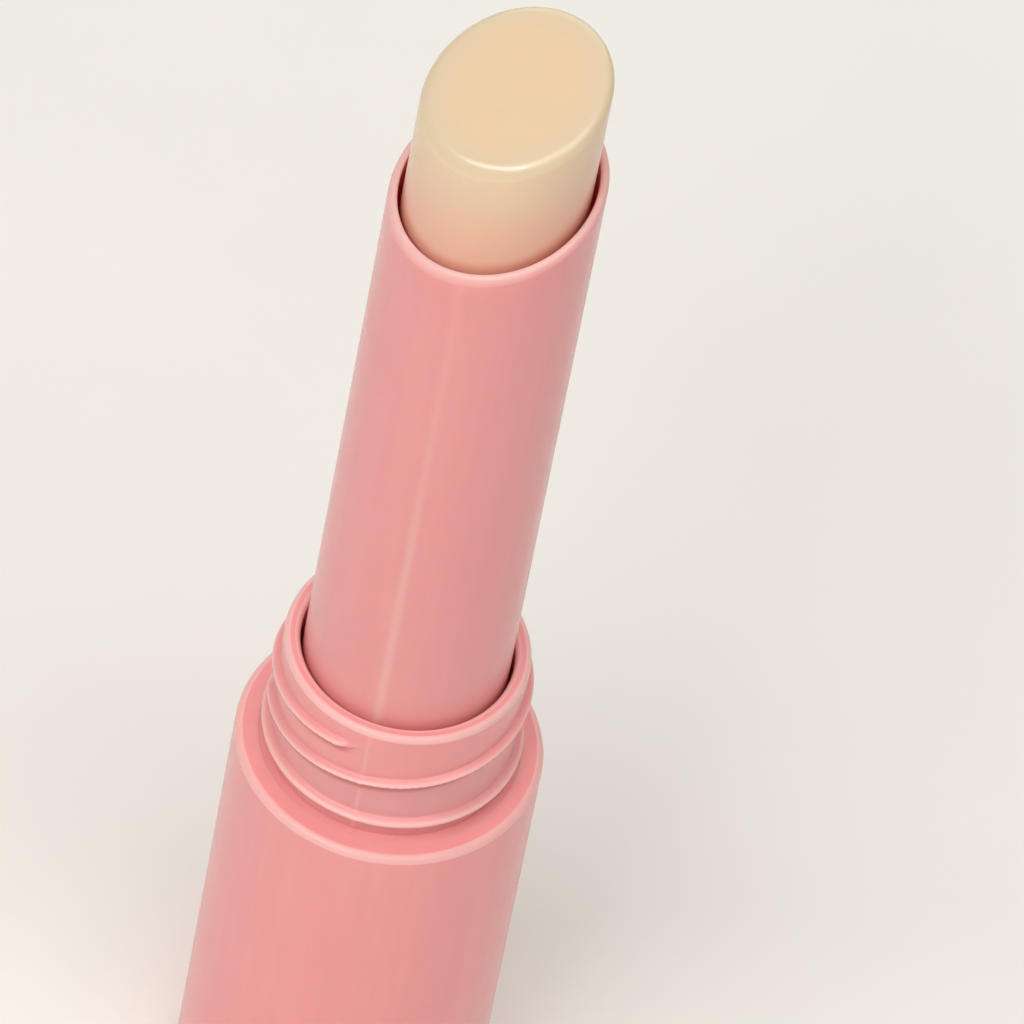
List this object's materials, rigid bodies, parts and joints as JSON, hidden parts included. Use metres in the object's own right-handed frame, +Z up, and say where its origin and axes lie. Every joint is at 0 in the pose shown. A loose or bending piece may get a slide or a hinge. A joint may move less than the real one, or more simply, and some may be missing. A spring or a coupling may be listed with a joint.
{
  "type": "twist-up lip balm stick",
  "caption": "Slim twist-up lip balm stick: a slanted-mouth tube turns in a screw-necked base, and a keyed lead screw inside raises the slant-faced balm.",
  "frame": {"origin": "middle of the base's foot, on the axis of the stick", "axes": "+Z up along the stick; the low side of the slanted mouth and of the balm's face looks along -Y"},
  "size_m": [0.0172, 0.0172, 0.0873],
  "materials": {
    "shell_plastic": "smooth moulded salmon-pink plastic with a soft gloss",
    "balm_wax": "smooth cream-yellow wax with a soft sheen",
    "works_plastic": "plain off-white moulded plastic",
    "ring_rubber": "black rubber",
    "weight_steel": "turned steel"
  },
  "bodies": {
    "base_body": {"base_shell": "shell_plastic", "base_weight": "weight_steel", "threaded_neck": "shell_plastic", "drive_nut": "works_plastic"},
    "tube_body": {"tube": "shell_plastic", "key_guide": "works_plastic", "friction_ring": "ring_rubber"},
    "balm_body": {"screw_rod": "works_plastic", "carrier_cup": "works_plastic", "balm": "balm_wax"}
  },
  "joints": [
    {"name": "tube_twist", "type": "hinge", "parent": "base_body", "child": "tube_body", "pos_m": [0, 0, 0.0336], "axis": [0, 0, -1], "range_deg": [-540, 930]},
    {"name": "balm_lift", "type": "slide", "parent": "tube_body", "child": "balm_body", "axis": [0, 0, 1], "range_m": [-0.00901, 0.01551]}
  ],
  "couplings": [
    {"joint": "balm_lift", "follows": "tube_twist", "m_per_rad": 0.00095493}
  ]
}
